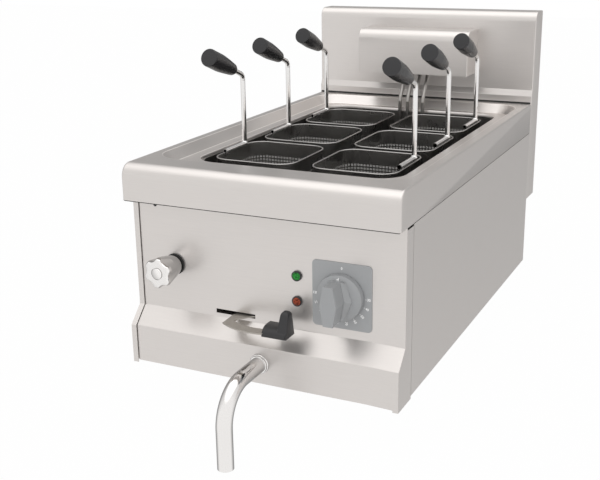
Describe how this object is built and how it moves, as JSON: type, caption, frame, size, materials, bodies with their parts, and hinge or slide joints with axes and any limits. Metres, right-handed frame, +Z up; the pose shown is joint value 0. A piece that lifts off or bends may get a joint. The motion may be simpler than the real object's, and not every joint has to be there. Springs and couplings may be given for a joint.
{
  "type": "countertop pasta cooker",
  "caption": "Countertop electric pasta cooker: steel cabinet with a tank of lift-out long-handled baskets, splash with heater head, fill tap, thermostat and lever-worked drain.",
  "frame": {"origin": "middle of the cabinet's plan, on the plane of the four foot faces", "axes": "+X to the right seen from the front, +Y from the front to the splash, +Z up"},
  "size_m": [0.4, 0.8076, 0.516],
  "materials": {
    "satin_steel": "satin stainless sheet",
    "polished_steel": "polished",
    "dark_steel": "darkened by heat and water",
    "basket_steel": "perforated sheet with a rolled rim",
    "black_rubber": "matt",
    "black_plastic": "fine grain",
    "grey_plastic": "satin",
    "green_lens": "clear moulded",
    "red_lens": "clear moulded"
  },
  "bodies": {
    "cabinet": {"base_pan": "satin_steel", "feet": "black_rubber", "foot_nuts": "polished_steel", "side_panel_left": "satin_steel", "side_panel_right": "satin_steel", "corner_post_left": "satin_steel", "corner_post_right": "satin_steel", "front_panel": "satin_steel", "rear_panel": "satin_steel", "panel_screws": "polished_steel", "worktop": "satin_steel", "tank": "satin_steel", "false_bottom": "dark_steel", "splashback": "satin_steel", "head_box": "satin_steel", "head_flange": "polished_steel", "heating_elements": "dark_steel", "outlet_elbow": "polished_steel", "valve_body": "polished_steel", "drain_collar": "polished_steel", "drain_pipe": "polished_steel", "tap_body": "polished_steel", "tap_gasket": "black_rubber", "feed_pipe": "polished_steel", "fill_pipe": "polished_steel", "inlet_union": "polished_steel", "thermostat_body": "dark_steel", "dial_plate": "grey_plastic", "lamp_bodies": "black_plastic", "lamp_lens_upper": "green_lens", "lamp_lens_lower": "red_lens", "contactor": "black_plastic", "terminal_block": "grey_plastic", "cable_gland": "black_plastic"},
    "thermostat": {"thermostat_knob": "grey_plastic", "thermostat_spindle": "polished_steel"},
    "tap": {"tap_knob": "polished_steel", "tap_spindle": "polished_steel"},
    "drain": {"valve_ball": "polished_steel", "drain_lever": "satin_steel", "lever_nut": "polished_steel", "lever_grip": "black_plastic"},
    "basket_1": {"basket_1_pan": "basket_steel", "basket_1_handle": "polished_steel", "basket_1_grip": "black_plastic"},
    "basket_2": {"basket_2_pan": "basket_steel", "basket_2_handle": "polished_steel", "basket_2_grip": "black_plastic"},
    "basket_3": {"basket_3_pan": "basket_steel", "basket_3_handle": "polished_steel", "basket_3_grip": "black_plastic"},
    "basket_4": {"basket_4_pan": "basket_steel", "basket_4_handle": "polished_steel", "basket_4_grip": "black_plastic"},
    "basket_5": {"basket_5_pan": "basket_steel", "basket_5_handle": "polished_steel", "basket_5_grip": "black_plastic"},
    "basket_6": {"basket_6_pan": "basket_steel", "basket_6_handle": "polished_steel", "basket_6_grip": "black_plastic"}
  },
  "joints": [
    {"name": "thermostat_turn", "type": "hinge", "parent": "cabinet", "child": "thermostat", "pos_m": [0.1125, -0.324, 0.149], "axis": [0, 1, 0], "range_deg": [0, 300]},
    {"name": "tap_turn", "type": "hinge", "parent": "cabinet", "child": "tap", "pos_m": [-0.138, -0.324, 0.1587], "axis": [0, -1, 0], "range_deg": [0, 270]},
    {"name": "drain_swing", "type": "hinge", "parent": "cabinet", "child": "drain", "pos_m": [0.0025, -0.292, 0.099], "axis": [0, 0, -1], "range_deg": [0, 60]},
    {"name": "basket_1_lift", "type": "slide", "parent": "cabinet", "child": "basket_1", "axis": [0, 0, 1], "range_m": [0, 0.2]},
    {"name": "basket_2_lift", "type": "slide", "parent": "cabinet", "child": "basket_2", "axis": [0, 0, 1], "range_m": [0, 0.2]},
    {"name": "basket_3_lift", "type": "slide", "parent": "cabinet", "child": "basket_3", "axis": [0, 0, 1], "range_m": [0, 0.2]},
    {"name": "basket_4_lift", "type": "slide", "parent": "cabinet", "child": "basket_4", "axis": [0, 0, 1], "range_m": [0, 0.2]},
    {"name": "basket_5_lift", "type": "slide", "parent": "cabinet", "child": "basket_5", "axis": [0, 0, 1], "range_m": [0, 0.2]},
    {"name": "basket_6_lift", "type": "slide", "parent": "cabinet", "child": "basket_6", "axis": [0, 0, 1], "range_m": [0, 0.2]}
  ]
}
